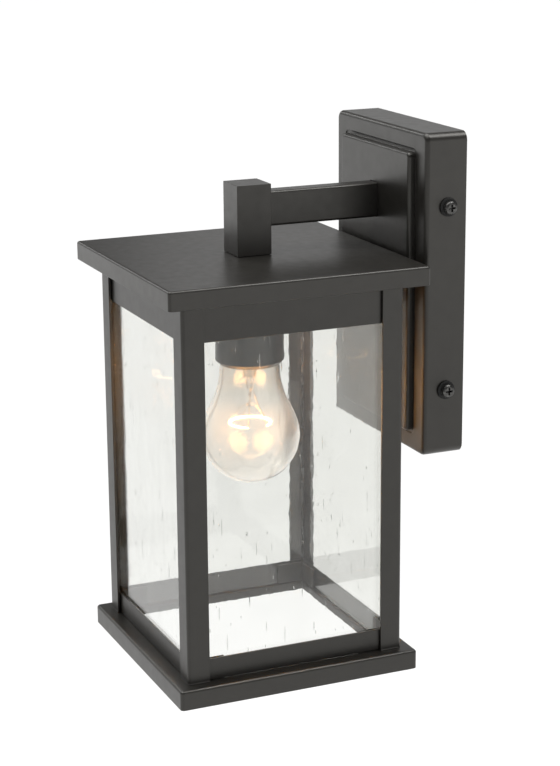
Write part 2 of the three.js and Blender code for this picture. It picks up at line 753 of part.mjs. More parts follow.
const insulatorBottom = CAP_TOP + GAP;
add(lantern, 'bulb_glass', 'clearGlass', bulbEnvelope());
add(lantern, 'bulb_stem', 'clearGlass', bulbStem());
add(lantern, 'bulb_filament', 'tungsten', filament());
add(lantern, 'bulb_lead_wire_right', 'nickel', leadWire(-1));
add(lantern, 'bulb_lead_wire_left', 'nickel', leadWire(1));
add(lantern, 'bulb_cap', 'nickel', bulbCap());
add(lantern, 'bulb_cap_insulator', 'blackGlass', turned([
  [0, insulatorBottom],
  [11, insulatorBottom],
  [6, insulatorBottom + 3],
  [0, insulatorBottom + 3],
], 24));
add(lantern, 'bulb_contact', 'nickel', turned([
  [0, insulatorBottom + 3 + GAP],
  [4.6, insulatorBottom + 3 + GAP],
  [3.4, CONTACT_TOP - 0.4],
  [0, CONTACT_TOP],
], 16));

export default wallLantern;
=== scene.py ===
"""Looks of the outdoor wall lantern, built round its CAD frame.

Geometry is written in millimetres and scaled to metres when a mesh is made. Lantern pieces are drawn
about the lantern's own axis with the roof's top face at height 0, and moved into place as they are
made. Plate pieces are drawn lying on their backs and stood up against the wall.
"""

import json
import math
import random

import bmesh
import bpy
from mathutils import Matrix, Vector


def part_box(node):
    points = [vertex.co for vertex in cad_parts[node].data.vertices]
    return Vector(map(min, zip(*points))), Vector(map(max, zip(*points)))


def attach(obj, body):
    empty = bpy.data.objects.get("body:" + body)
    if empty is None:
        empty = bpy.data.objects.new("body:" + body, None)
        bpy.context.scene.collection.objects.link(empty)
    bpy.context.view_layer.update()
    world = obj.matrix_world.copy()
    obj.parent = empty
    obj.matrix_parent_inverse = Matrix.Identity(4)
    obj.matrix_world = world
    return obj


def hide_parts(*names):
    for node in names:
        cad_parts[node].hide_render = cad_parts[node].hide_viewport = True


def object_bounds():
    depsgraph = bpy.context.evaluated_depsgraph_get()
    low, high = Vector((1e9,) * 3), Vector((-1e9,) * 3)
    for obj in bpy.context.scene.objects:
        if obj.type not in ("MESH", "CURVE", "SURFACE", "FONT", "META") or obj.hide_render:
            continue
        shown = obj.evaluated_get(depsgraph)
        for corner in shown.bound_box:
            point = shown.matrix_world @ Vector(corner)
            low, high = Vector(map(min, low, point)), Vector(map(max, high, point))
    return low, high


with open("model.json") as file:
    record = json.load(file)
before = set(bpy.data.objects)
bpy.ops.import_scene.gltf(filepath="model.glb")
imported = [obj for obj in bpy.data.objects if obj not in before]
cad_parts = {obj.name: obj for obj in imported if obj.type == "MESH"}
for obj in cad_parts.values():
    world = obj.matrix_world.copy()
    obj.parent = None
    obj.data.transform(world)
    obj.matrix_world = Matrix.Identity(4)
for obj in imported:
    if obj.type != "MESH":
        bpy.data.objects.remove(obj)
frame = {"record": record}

cad_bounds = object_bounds()

MM = 0.001
QUARTER = math.pi / 2
TURN = 2 * math.pi
record = frame["record"]
BODY_OF = {node: body for body, nodes in record["behaviour"]["bodies"].items() for node in nodes}
SLOT_OF = {part["node"]: part["material_slot"] for part in record["subparts"]}


def node_box(name):
    """Lowest and highest corner of a CAD node, in millimetres."""
    low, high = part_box(name)
    return low / MM, high / MM


# Places, read from the frame ---------------------------------------------------------------------

ROOF_LOW, ROOF_HIGH = node_box("roof")
AXIS_Y = (ROOF_LOW.y + ROOF_HIGH.y) / 2
ROOF_TOP = ROOF_HIGH.z
LANTERN = Matrix.Translation((0, AXIS_Y, ROOF_TOP))
ON_WALL = Matrix.Rotation(QUARTER, 4, "X")
SIDES = ("front", "right", "rear", "left")
CORNERS = ("front_right", "rear_right", "rear_left", "front_left")


def heights(name):
    """Lowest and highest point of a CAD node above the roof's top face."""
    low, high = node_box(name)
    return low.z - ROOF_TOP, high.z - ROOF_TOP


# Mesh helpers ------------------------------------------------------------------------------------


def arc(centre_x, centre_y, radius, start, end, steps=5):
    """Points along part of a circle; the angles are in quarter turns."""
    angles = [(start + (end - start) * i / steps) * QUARTER for i in range(steps + 1)]
    return [(centre_x + radius * math.cos(a), centre_y + radius * math.sin(a)) for a in angles]


def rounded_rectangle(width, length, radius, centre=(0, 0)):
    """Points of a rounded rectangle, anticlockwise from its right side."""
    points = []
    steps = 6
    for quarter in range(4):
        side_x = 1 if quarter in (0, 3) else -1
        side_y = 1 if quarter < 2 else -1
        middle_x = centre[0] + side_x * (width / 2 - radius)
        middle_y = centre[1] + side_y * (length / 2 - radius)
        points += arc(middle_x, middle_y, radius, quarter, quarter + 1, steps)
    return points


def joined_rings(mesh, rings, looped):
    """Joins rings of equal length with quads; looped also joins the last ring to the first."""
    pairs = list(zip(rings, rings[1:]))
    if looped:
        pairs.append((rings[-1], rings[0]))
    for low, high in pairs:
        for i in range(max(len(low), len(high))):
            j = i + 1
            corners = [low[i % len(low)], low[j % len(low)], high[j % len(high)], high[i % len(high)]]
            corners = list(dict.fromkeys(corners))
            if len(corners) > 2:
                mesh.faces.new(corners)


def pressed(sections):
    """A closed shell through rounded rectangles given as (width, length, corner, height[, centre])."""
    mesh = bmesh.new()
    rings = []
    for width, length, corner, height, *centre in sections:
        outline = rounded_rectangle(width, length, corner, *centre)
        rings.append([mesh.verts.new((x, y, height)) for x, y in outline])
    joined_rings(mesh, rings, True)
    return mesh


def square(width, corner, height):
    """A square section for pressed."""
    return width, width, corner, height


def edge_sections(width, length, corner, top, radius, steps):
    """Sections that turn an upright wall of the given width over into a flat top."""
    sections = []
    for step in range(steps + 1):
        angle = step / steps * QUARTER
        inset = radius * (1 - math.cos(angle))
        height = top - radius * (1 - math.sin(angle))
        rounding = max(corner - inset, 0.5)
        sections.append((width - 2 * inset, length - 2 * inset, rounding, height))
    return sections


def turned(profile, segments=48, swell=None):
    """A solid turned about Z from (radius, height) points; off the axis the profile closes on itself.

    swell(index, height, angle) adds to a point's radius, for threads and flutes.
    """
    mesh = bmesh.new()
    rings = []
    for index, (radius, height) in enumerate(profile):
        ring = []
        for i in range(segments if radius > 0 else 1):
            angle = i / segments * TURN
            reach = radius + (swell(index, height, angle) if swell else 0)
            ring.append(mesh.verts.new((reach * math.cos(angle), reach * math.sin(angle), height)))
        rings.append(ring)
    joined_rings(mesh, rings, len(rings[0]) > 1)
    return mesh


def lofted(outlines):
    """A solid through outlines of (x, y, z) points, with flat ends."""
    mesh = bmesh.new()
    rings = [[mesh.verts.new(point) for point in outline] for outline in outlines]
    joined_rings(mesh, rings, False)
    mesh.faces.new(rings[0][::-1])
    mesh.faces.new(rings[-1])
    return mesh


def extruded(outline, low, high):
    """A prism on a closed outline of (x, y) points."""
    return lofted([[(x, y, height) for x, y in outline] for height in (low, high)])


def block(x0, x1, y0, y1, z0, z1):
    return extruded([(x0, y0), (x1, y0), (x1, y1), (x0, y1)], z0, z1)


def swept(path, radius, sides):
    """A round bar along points, with flat ends."""
    points = [Vector(point) for point in path]
    rings = []
    normal = None
    for i, point in enumerate(points):
        ahead = points[min(i + 1, len(points) - 1)] - points[max(i - 1, 0)]
        ahead.normalize()
        if normal is None:
            normal = ahead.orthogonal().normalized()
        normal = (normal - ahead * normal.dot(ahead)).normalized()
        across = ahead.cross(normal)
        angles = [k / sides * TURN for k in range(sides)]
        rings.append([point + (normal * math.cos(a) + across * math.sin(a)) * radius for a in angles])
    return lofted(rings)


def merged(*meshes):
    """One mesh holding several closed bodies."""
    whole = meshes[0]
    for other in meshes[1:]:
        copy = {vertex: whole.verts.new(vertex.co) for vertex in other.verts}
        for face in other.faces:
            whole.faces.new([copy[vertex] for vertex in face.verts])
        other.free()
    return whole


def moved(mesh, matrix):
    bmesh.ops.transform(mesh, matrix=matrix, verts=mesh.verts)
    return mesh


def scene_object(name, mesh):
    """A new object from a mesh in millimetres."""
    bmesh.ops.transform(mesh, matrix=Matrix.Scale(MM, 4), verts=mesh.verts)
    data = bpy.data.meshes.new(name)
    mesh.to_mesh(data)
    mesh.free()
    result = bpy.data.objects.new(name, data)
    bpy.context.scene.collection.objects.link(result)
    return result


def outward(mesh):
    bmesh.ops.recalc_face_normals(mesh, faces=mesh.faces)
    return mesh


def applied(target):
    """Turns an object's modifiers into its mesh."""
    graph = bpy.context.evaluated_depsgraph_get()
    data = bpy.data.meshes.new_from_object(target.evaluated_get(graph))
    target.modifiers.clear()
    target.data = data
    return target


def pierced(target, *tools):
    """Cuts closed tool meshes, in millimetres, out of an object."""
    cutters = [scene_object("cutter", outward(tool)) for tool in tools]
    for cutter in cutters:
        modifier = target.modifiers.new("cut", "BOOLEAN")
        modifier.operation = "DIFFERENCE"
        modifier.solver = "EXACT"
        modifier.object = cutter
    applied(target)
    for cutter in cutters:
        bpy.data.objects.remove(cutter)
    return target


def piece(node, mesh, place):
    """The object of one piece, put in its place with its faces pointing out."""
    return scene_object("fine_" + node, moved(outward(mesh), place))


def softened(target, bevel=0.0, crease=35):
    """Rounds sharp edges, if asked, and shades the rest smoothly."""
    if bevel:
        modifier = target.modifiers.new("edges", "BEVEL")
        modifier.width = bevel * MM
        modifier.segments = 3
        modifier.limit_method = "ANGLE"
        modifier.angle_limit = math.radians(crease)
        applied(target)
    target.data.shade_smooth()
    target.data.set_sharp_from_angle(angle=math.radians(crease + 10))
    modifier = target.modifiers.new("flat faces", "WEIGHTED_NORMAL")
    modifier.keep_sharp = True
    return applied(target)


def dressed(target, node, *more_nodes):
    """Gives a finished object its material, and lets it stand for its CAD nodes."""
    slot = SLOT_OF[node]
    target.data.materials.clear()
    target.data.materials.append(finish_for(slot))
    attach(target, BODY_OF[node])
    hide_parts(node, *more_nodes)
    return target


def finished(node, mesh, place=LANTERN, bevel=0.0, tools=(), crease=35):
    """Makes the finished piece that stands for one CAD node."""
    target = piece(node, mesh, place)
    if tools:
        pierced(target, *[moved(tool, place) for tool in tools])
    return dressed(softened(target, bevel, crease), node)


# Materials ---------------------------------------------------------------------------------------


def fed(tree, node, *ordered, **named):
    """Gives a node's inputs values, or links them where the value is another node's output."""
    inputs = [*zip(node.inputs, ordered)]
    inputs += [(node.inputs[name.replace("_", " ")], value) for name, value in named.items()]
    for socket, value in inputs:
        if isinstance(value, bpy.types.NodeSocket):
            tree.links.new(value, socket)
        else:
            socket.default_value = value
    return node


class Look:
    """A node material that is drawn in the object's own coordinates."""

    def __init__(self, name):
        self.material = bpy.data.materials.new(name)
        self.material.use_nodes = True
        self.tree = self.material.node_tree
        self.shader = self.tree.nodes["Principled BSDF"]
        self.place = self.add("TexCoord").outputs["Object"]

    def add(self, kind, *ordered, **named):
        return fed(self.tree, self.tree.nodes.new("ShaderNode" + kind), *ordered, **named)

    def set(self, **values):
        fed(self.tree, self.shader, **values)
        return self

    def noise(self, size, detail=3.0, stretch=(1, 1, 1)):
        """Noise whose blotches are about the given size across, in millimetres."""
        place = self.add("Mapping", Vector=self.place, Scale=stretch).outputs["Vector"]
        return self.add("TexNoise", Vector=place, Scale=1 / (size * MM), Detail=detail).outputs["Fac"]

    def cells(self, size):
        """Rounded cells of the given size, in millimetres."""
        node = self.add("TexVoronoi", Vector=self.place, Scale=1 / (size * MM))
        node.feature = "SMOOTH_F1"
        return node.outputs["Distance"]

    def ranged(self, factor, low, high, start=0.3, end=0.7):
        """Maps a factor from start to end onto a range of numbers."""
        node = self.add("MapRange", Value=factor, From_Min=start, From_Max=end, To_Min=low, To_Max=high)
        return node.outputs["Result"]

    def blended(self, factor, low, high):
        """Maps the middle of a 0 to 1 factor onto a range of colours."""
        node = self.add("ValToRGB", Fac=factor)
        for element, position, colour in zip(node.color_ramp.elements, (0.35, 0.65), (low, high)):
            element.position = position
            element.color = (*colour, 1)
        return node.outputs["Color"]

    def relief(self, *layers):
        """Bumps, each given as (factor, depth in millimetres)."""
        normal = {}
        for factor, depth in layers:
            node = self.add("Bump", Strength=1.0, Distance=depth * MM, Height=factor, **normal)
            normal = {"Normal": node.outputs["Normal"]}
        return self.set(**normal)

    def painted_glow(self, centre, near, far, strength):
        """Painted glow: light that fades out between two distances from a point, in metres, painted on as
        emission.
        """
        distance = self.add("VectorMath", self.place, centre)
        distance.operation = "DISTANCE"
        fading = self.ranged(distance.outputs["Value"], strength, 0.0, near, far)
        return self.set(Emission_Strength=fading, Emission_Color=PAINTED_GLOW_COLOUR)

    def lets_lamps_through(self, tint):
        """Rays towards lamps pass straight through, so that what is behind the glass is lit."""
        clear = self.add("BsdfTransparent", (*tint, 1))
        shadow = self.add("LightPath").outputs["Is Shadow Ray"]
        mix = self.add("MixShader", shadow, self.shader.outputs["BSDF"], clear.outputs["BSDF"])
        fed(self.tree, self.tree.nodes["Material Output"], Surface=mix.outputs["Shader"])
        return self


def powder_coat(name):
    look = Look(name).set(Specular_IOR_Level=0.60, Specular_Tint=(1.0, 0.975, 0.925, 1))
    colour = look.blended(look.noise(9, 6), (0.0104, 0.0095, 0.0080), (0.0134, 0.0124, 0.0106))
    look.set(Base_Color=colour, Roughness=look.ranged(look.noise(6, 5), 0.335, 0.385))
    return look.relief((look.noise(1.3, 2), 0.009), (look.cells(0.9), 0.004)).material


def opaque(dark, light, colour_grain, gloss, gloss_grain, bumps, **settings):
    """A finish of mottled colour and gloss under fine bumps; grains are arguments of Look.noise."""
    def finish(name):
        look = Look(name).set(**settings)
        look.set(Base_Color=look.blended(look.noise(*colour_grain), dark, light))
        look.set(Roughness=look.ranged(look.noise(*gloss_grain), *gloss))
        return look.relief(*[(look.noise(*grain), depth) for grain, depth in bumps]).material

    return finish


def plated(dark, light, smoothest=0.28):
    """A finish of plated or drawn metal with fine drawing marks."""
    gloss = smoothest, smoothest + 0.16
    bumps = [((0.9, 3, (1, 1, 6)), 0.008), ((5, 3), 0.02)]
    return opaque(dark, light, (7, 5), gloss, (3, 5), bumps, Metallic=1.0)


def seeded_glass(name):
    """Rolled glass: slow waves in both faces drawn out along the sheet; the seeds are geometry."""
    look = Look(name).set(Transmission_Weight=1.0, IOR=1.5, Roughness=0.0)
    look.set(Base_Color=look.blended(look.noise(40, 2), (0.865, 0.868, 0.845), (0.892, 0.895, 0.874)))
    look.relief((look.noise(26, 1, (1, 1, 0.45)), 0.16), (look.noise(6, 3, (1, 1, 0.4)), 0.034))
    return look.lets_lamps_through((0.92, 0.925, 0.91)).material


def blown_glass(name):
    """A lit bulb's glass, which carries a faint painted glow, an emission strongest beside the filament."""
    look = Look(name).set(Transmission_Weight=1.0, IOR=1.48, Roughness=0.12)
    look.set(Base_Color=look.blended(look.noise(30, 2), (0.845, 0.824, 0.790), (0.865, 0.844, 0.810)))
    look.relief((look.noise(18, 1), 0.02))
    # painted glow: emission on the glass near the filament, standing in for its light scattered in the
    # glass
    look.painted_glow(Vector((0, AXIS_Y, ROOF_TOP + FILAMENT_HEIGHT - 8)) * MM, 0.025, 0.036, PAINTED_GLOW)
    return look.lets_lamps_through((0.97, 0.97, 0.96)).material


def tungsten(name):
    """The lit filament, whose glow varies a little along the coil."""
    look = Look(name).set(Emission_Strength=FILAMENT_GLOW)
    look.set(
        Base_Color=look.blended(look.noise(1, 2), (0.5, 0.45, 0.4), (0.7, 0.6, 0.5)),
        Emission_Color=look.blended(look.noise(4, 2), (1.0, 0.62, 0.28), (1.0, 0.76, 0.42)),
        Roughness=look.ranged(look.noise(0.5, 2), 0.4, 0.6),
    )
    look.material.cycles.emission_sampling = "NONE"
    return look.material


FILAMENT_GLOW = 140.0
# strength and colour of the glow painted on the bulb glass as emission
PAINTED_GLOW = 0.09
PAINTED_GLOW_COLOUR = (0.92, 0.97, 1.0, 1)
FINISHES = {
    "black_powder_coat": powder_coat,
    "black_rubber": opaque(
        (0.010, 0.010, 0.010), (0.018, 0.018, 0.017), (2, 4), (0.6, 0.8), (1, 4), [((0.3, 2), 0.01)],
        Specular_IOR_Level=0.3),
    "black_screw": opaque(
        (0.06, 0.059, 0.057), (0.12, 0.118, 0.113), (1.4, 5), (0.28, 0.45), (0.8, 4),
        [((0.4, 2), 0.008)], Metallic=0.85),
    "zinc_steel": plated((0.46, 0.47, 0.48), (0.62, 0.63, 0.64)),
    "green_steel": plated((0.02, 0.16, 0.05), (0.05, 0.26, 0.10)),
    "seeded_glass": seeded_glass,
    "clear_glass": blown_glass,
    "porcelain": opaque(
        (0.72, 0.70, 0.64), (0.80, 0.78, 0.72), (6, 5), (0.25, 0.4), (4, 4), [((2.5, 3), 0.015)],
        Coat_Weight=0.6, Coat_Roughness=0.08),
    "brass": plated((0.56, 0.38, 0.13), (0.68, 0.49, 0.20), 0.22),
    "nickel": plated((0.52, 0.50, 0.46), (0.66, 0.64, 0.59), 0.2),
    "black_glass": opaque(
        (0.006, 0.006, 0.008), (0.014, 0.013, 0.016), (2, 3), (0.05, 0.16), (2, 3),
        [((1.5, 2), 0.01)], Specular_IOR_Level=0.6),
    "tungsten": tungsten,
}
made_finishes = {}


def finish_for(slot):
    if slot not in made_finishes:
        made_finishes[slot] = FINISHES[slot](slot)
    return made_finishes[slot]


# Backplate and what is behind it -----------------------------------------------------------------

PLATE_LOW, PLATE_HIGH = node_box("backplate")
PLATE_WIDTH = PLATE_HIGH.x - PLATE_LOW.x
PLATE_HEIGHT = PLATE_HIGH.z - PLATE_LOW.z
PLATE_SHEET = 1.6
PANEL_TOP = -PLATE_LOW.y
PANEL_RISE = 4.2
PLATE_TOP = PANEL_TOP - PANEL_RISE
PANEL_WIDTH = 92.0
PANEL_HEIGHT = 169.0
ARM_LOW, ARM_HIGH = node_box("arm_tube")
ARM_Z = (ARM_LOW.z + ARM_HIGH.z) / 2
GAP = 0.3


def side_screw_height(place):
    low, high = node_box(f"side_screw_{place}")
    return (low.z + high.z) / 2


SCREW_FROM_WALL = 12.0
SCREW_HOLE = 2.3
GROUND_Z = -36.0
SCREW_PLACES = [f"{hand}_{level}" for hand in ("right", "left") for level in ("upper", "lower")]


def cylinder(radius, low, high, segments=40):
    return turned([(0, low), (radius, low), (radius, high), (0, high)], segments)


def across_x(mesh, x, y, z):
    """Lays a piece drawn about Z along X, at a point."""
    return moved(mesh, Matrix.Translation((x, y, z)) @ Matrix.Rotation(QUARTER, 4, "Y"))


def side_holes(half_width, radius):
    holes = []
    for place in SCREW_PLACES:
        x = half_width if place.startswith("right") else -half_width
        holes.append(across_x(cylinder(radius, -6, 6, 24), x, -SCREW_FROM_WALL, side_screw_height(place)))
    return holes


def make_backplate():
    """One pressed sheet: side wall, round edge, margin, groove, raised panel and arm hole."""
    corner = 5.0
    edge = 2.8
    groove = 2.0
    floor = PLATE_TOP - 0.7
    sheet = PLATE_SHEET
    hole = (ARM_HIGH.x - ARM_LOW.x + 2 * GAP, ARM_HIGH.z - ARM_LOW.z + 2 * GAP, 1.7)
    hole_centre = (0, ARM_Z)

    def plate(growth):
        return PLATE_WIDTH + growth, PLATE_HEIGHT + growth

    def panel(growth):
        return PANEL_WIDTH + growth, PANEL_HEIGHT + growth

    outside = [
        (*plate(-0.5), corner, 0.0),
        (*plate(0), corner, 0.3),
        *edge_sections(*plate(0), corner, PLATE_TOP, edge, 8),
        (*panel(2 * groove + 0.8), 4.4, PLATE_TOP),
        (*panel(2 * groove + 0.2), 4.1, PLATE_TOP - 0.12),
        (*panel(2 * groove - 0.3), 3.9, PLATE_TOP - 0.45),
        (*panel(2 * groove - 1.0), 3.6, floor),
        (*panel(0.8), 3.4, floor),
        (*panel(0.2), 3.1, floor + 0.25),
        *edge_sections(*panel(0), 3.0, PANEL_TOP, 1.9, 6),
        (*hole, PANEL_TOP, hole_centre),
    ]
    inside = [
        (*plate(0.5 - 2 * sheet), corner - 0.8, 0.0),
        (*plate(-2 * sheet), corner - 0.8, 0.3),
        *edge_sections(*plate(-2 * sheet), corner - 0.8, PLATE_TOP - sheet, edge - sheet, 5),
        (*panel(-0.6), 2.9, PLATE_TOP - sheet),
        *edge_sections(*panel(-2 * sheet), 2.0, PANEL_TOP - sheet, 0.8, 3),
        (*hole, PANEL_TOP - sheet, hole_centre),
    ]
    target = piece("backplate", pressed(outside + inside[::-1]), ON_WALL)
    pierced(target, *side_holes(PLATE_WIDTH / 2, SCREW_HOLE))
    dressed(softened(target), "backplate")


def make_mounting_pan():
    """A flat web on the wall with two folded flanges, slotted for the junction box."""
    low, high = node_box("mounting_pan")
    half = high.x
    sheet = 2.0
    bend = 3.0
    fold = half - bend
    outline = arc(fold, -bend, bend, 1, 0) + [(half, low.y), (half - sheet, low.y)]
    outline += arc(fold, -bend, bend - sheet, 0, 1) + arc(-fold, -bend, bend - sheet, 1, 2)
    outline += [(-half + sheet, low.y), (-half, low.y)] + arc(-fold, -bend, bend, 2, 1)
    target = piece("mounting_pan", extruded(outline, low.z, high.z), Matrix.Identity(4))
    wire_hole = moved(cylinder(14, -6, 6, 56), ON_WALL)
    ground_tap = moved(cylinder(SCREW_HOLE, -6, 6, 24), Matrix.Translation((0, 0, GROUND_Z)) @ ON_WALL)
    slots = []
    for sign in (-1, 1):
        slot_outline = rounded_rectangle(14.5, 5, 2.49, (sign * 39.7, 0))
        slots.append(moved(extruded(slot_outline, -6, 6), ON_WALL))
    pierced(target, wire_hole, ground_tap, *slots, *side_holes(half, SCREW_HOLE))
    dressed(softened(target, 0.25), "mounting_pan")


M4_PITCH = 0.7


def thread(depth, pitch, first, count, runout=1):
    """A swell that cuts a right-hand thread into count points of a profile, from the first given.

    The thread is shallower over runout points at both ends; with 1 it starts at full depth.
    """
    def swell(index, height, angle):
        from_end = min(index - first, first + count - 1 - index)
        if from_end < 0:
            return 0
        share = min(1, from_end / runout) if runout > 1 else 1
        return share * depth * (0.5 * math.cos(TURN * (height / pitch) - angle) - 0.5)

    return swell


def threaded_rows(radius, low, high, pitch, per_turn=6):
    count = max(2, round((high - low) / pitch * per_turn))
    return [(radius, low + (high - low) * i / count) for i in range(count + 1)]


def make_screw(node, place, head_radius, head_height, shank_radius, shank_length):
    """A pan head machine screw with a cross recess; the head's underside is at height 0."""
    start = [(0, -shank_length), (shank_radius - 0.5, -shank_length)]
    shank = threaded_rows(shank_radius, -shank_length + 0.3, -0.35, M4_PITCH)
    head = [(shank_radius, 0), (head_radius - 0.15, 0), (head_radius, 0.15)]
    head.append((head_radius, 0.5 * head_height))
    dome = 7
    for step in range(1, dome + 1):
        angle = step / dome * QUARTER
        reach = head_radius * (0.5 + 0.5 * math.cos(angle))
        head.append((reach, head_height * (0.5 + 0.5 * math.sin(angle))))
    head.append((0, head_height))
    swell = thread(0.35, M4_PITCH, len(start), len(shank))
    body = turned(start + shank + head, 32, swell)
    target = piece(node, body, place)
    arm = 0.56 * head_radius
    slot = 0.15 * head_radius
    floor = 0.3 * head_height
    recess = [block(-arm, arm, -slot, slot, floor, 9), block(-slot, slot, -arm, arm, floor, 9)]
    pierced(target, *[moved(tool, place) for tool in recess])
    dressed(softened(target), node)


def make_side_screws():
    """The washers under the heads bulge a little where they are squeezed."""
    bulge = [(SCREW_HOLE, 0), (5.3, 0), (5.55, 0.25), (5.6, 0.6), (5.5, 0.95), (5.2, 1.2)]
    bulge.append((SCREW_HOLE, 1.2))
    for place_name in SCREW_PLACES:
        sign = 1 if place_name.startswith("right") else -1
        height = side_screw_height(place_name)
        seat = Matrix.Translation((sign * (PLATE_WIDTH / 2 + GAP), -SCREW_FROM_WALL, height))
        seat = seat @ Matrix.Rotation(sign * QUARTER, 4, "Y")
        finished(f"side_screw_washer_{place_name}", turned(bulge, 40), seat)
        head = seat @ Matrix.Translation((0, 0, 1.5))
        make_screw(f"side_screw_{place_name}", head, 4.0, 3.2, 2.0, 9.0)
    ground = Matrix.Translation((0, -2.3, GROUND_Z)) @ Matrix.Rotation(QUARTER, 4, "X")
    make_screw("ground_screw", ground, 4.5, 2.6, 2.0, 1.8)


# Arm and block -----------------------------------------------------------------------------------


def hexagon_nut(across, low, high, bore):
    """A hexagon nut whose corners are chamfered at both faces."""
    mesh = bmesh.new()
    points = 48
    rings = [[], [], [], [], [], []]
    for i in range(points):
        angle = i / points * TURN
        turn = (angle + QUARTER / 3) % (TURN / 6) - TURN / 12
        hexagon = across / 2 / math.cos(turn)
        chamfer = max(0.0, hexagon - across / 2 * 1.02)
        levels = [
            (bore, low),
            (hexagon - chamfer, low),
            (hexagon, low + 0.55 * chamfer + 0.02),
            (hexagon, high - 0.55 * chamfer - 0.02),
            (hexagon - chamfer, high),
            (bore, high),
        ]
        for ring, (radius, height) in zip(rings, levels):
            ring.append(mesh.verts.new((radius * math.cos(angle), radius * math.sin(angle), height)))
    joined_rings(mesh, rings, True)
    return mesh


def make_arm():
    """The arm tube with its rolled corners, and the plate, studs and nuts that hold it."""
    width = ARM_HIGH.x - ARM_LOW.x
    height = ARM_HIGH.z - ARM_LOW.z
    wall = 1.2
    centre = (0, ARM_Z)
    ends = (-ARM_HIGH.y, -ARM_LOW.y)
    tube = pressed([
        (width, height, 1.6, ends[0], centre),
        (width, height, 1.6, ends[1], centre),
        (width - 2 * wall, height - 2 * wall, 0.6, ends[1], centre),
        (width - 2 * wall, height - 2 * wall, 0.6, ends[0], centre),
    ])
    finished("arm_tube", tube, ON_WALL)
    low, high = node_box("arm_end_plate")
    outline = rounded_rectangle(high.x - low.x, high.z - low.z, 4, centre)
    plate = extruded(outline, -high.y, -low.y)
    tools = [extruded(rounded_rectangle(7, 16, 2, centre), 0, 60)]
    studs = {name: node_box(f"weld_stud_{name}") for name in ("upper", "lower")}
    for stud_low, stud_high in studs.values():
        middle = (stud_low.z + stud_high.z) / 2
        tools.append(moved(cylinder(SCREW_HOLE, 0, 60, 24), Matrix.Translation((0, middle, 0))))
    finished("arm_end_plate", plate, ON_WALL, 0.3, tools)
    for name, (stud_low, stud_high) in studs.items():
        middle = (stud_low.z + stud_high.z) / 2
        place = ON_WALL @ Matrix.Translation((0, middle, 0))
        rows = threaded_rows(2.0, -stud_high.y + 0.4, -stud_low.y - 0.5, M4_PITCH)
        profile = [(0, -stud_high.y), (1.5, -stud_high.y), *rows, (2.0, -stud_low.y), (0, -stud_low.y)]
        stud = turned(profile, 24, thread(0.3, M4_PITCH, 2, len(rows)))
        finished(f"weld_stud_{name}", stud, place)
        nut_low, nut_high = node_box(f"stud_nut_{name}")
        nut = hexagon_nut(7, -nut_high.y, -nut_low.y, SCREW_HOLE)
        finished(f"stud_nut_{name}", nut, place)


def make_hanger_block():
    """The block has a bore for the threaded tube and one towards the arm for the wires."""
    low, high = heights("hanger_block")
    half = node_box("hanger_block")[1].x
    arm_above_roof = ARM_Z - ROOF_TOP
    bore = cylinder(NIPPLE_HOLE, -1, arm_above_roof + 6, 40)
    towards_arm = Matrix.Translation((0, 0, arm_above_roof)) @ Matrix.Rotation(-QUARTER, 4, "X")
    wire_bore = moved(cylinder(3.8, 0, 30, 32), towards_arm)
    body = block(-half, half, -half, half, low, high)
    finished("hanger_block", body, LANTERN, 0.55, [bore, wire_bore])


# Roof, cage and base -----------------------------------------------------------------------------

SHEET = 1.2
ROOF_WIDTH = ROOF_HIGH.x - ROOF_LOW.x
NIPPLE_HOLE = 5.2
RIM = 0.25


def make_roof():
    low, top = heights("roof")
    corner = 1.8
    inner = ROOF_WIDTH - 2 * SHEET
    hole = 2 * NIPPLE_HOLE
    finished("roof", pressed([
        square(ROOF_WIDTH - 2 * RIM, corner, low),
        square(ROOF_WIDTH, corner, low + RIM),
        *edge_sections(ROOF_WIDTH, ROOF_WIDTH, corner, top, 1.6, 6),
        square(hole, NIPPLE_HOLE, top),
        square(hole, NIPPLE_HOLE, top - SHEET),
        *edge_sections(inner, inner, 1.2, top - SHEET, 0.7, 3)[::-1],
        square(inner, 1.2, low + RIM),
        square(inner + 2 * RIM, 1.4, low),
    ]))


def make_top_plate():
    low, high = heights("cage_top_plate")
    width = node_box("cage_top_plate")[1].x * 2
    hole = 2 * NIPPLE_HOLE
    finished("cage_top_plate", pressed([
        square(width, 0.8, low), square(width, 0.8, high),
        square(hole, NIPPLE_HOLE, high), square(hole, NIPPLE_HOLE, low),
    ]))


def make_base():
    """A pressed ring: skirt, round top edge, flat, and a lip turned down round the opening."""
    low, top = heights("base_frame")
    width = node_box("base_frame")[1].x * 2
    opening = 121.7
    lip_low = top - 5.2
    roll = 1.0
    inner = width - 2 * SHEET
    behind = opening + 2 * SHEET
    rolled = [
        square(opening + 2 * roll * (1 - math.sin(angle)), 1.2, top - roll * (1 - math.cos(angle)))
        for angle in (step / 3 * QUARTER for step in range(4))
    ]
    finished("base_frame", pressed([
        square(width - 2 * RIM, 2.2, low),
        square(width, 2.2, low + RIM),
        *edge_sections(width, width, 2.2, top, 1.7, 6),
        *rolled,
        square(opening, 1.2, lip_low + RIM),
        square(opening + 2 * RIM, 1.2, lip_low),
        square(behind - 2 * RIM, 1.8, lip_low),
        square(behind, 1.8, lip_low + RIM),
        square(behind, 1.8, top - SHEET),
        *edge_sections(inner, inner, 1.2, top - SHEET, 0.7, 3)[::-1],
        square(inner, 1.2, low + RIM),
        square(inner + 2 * RIM, 1.4, low),
    ]))


def turned_to(index):
    """Place of a piece drawn for the front side or the front right corner, turned to another."""
    return LANTERN @ Matrix.Rotation(index * QUARTER, 4, "Z")


def angle_section(outer, leg, sheet, rounding):
    """An L outline with its corner at (outer, -outer) and a round outer edge."""
    end = outer - leg
    inner = outer - sheet
    corner = arc(outer - rounding, rounding - outer, rounding, -1, 0, 4)
    return [(end, -outer), *corner, (outer, -end), (inner, -end), (inner, -inner), (end, -inner)]


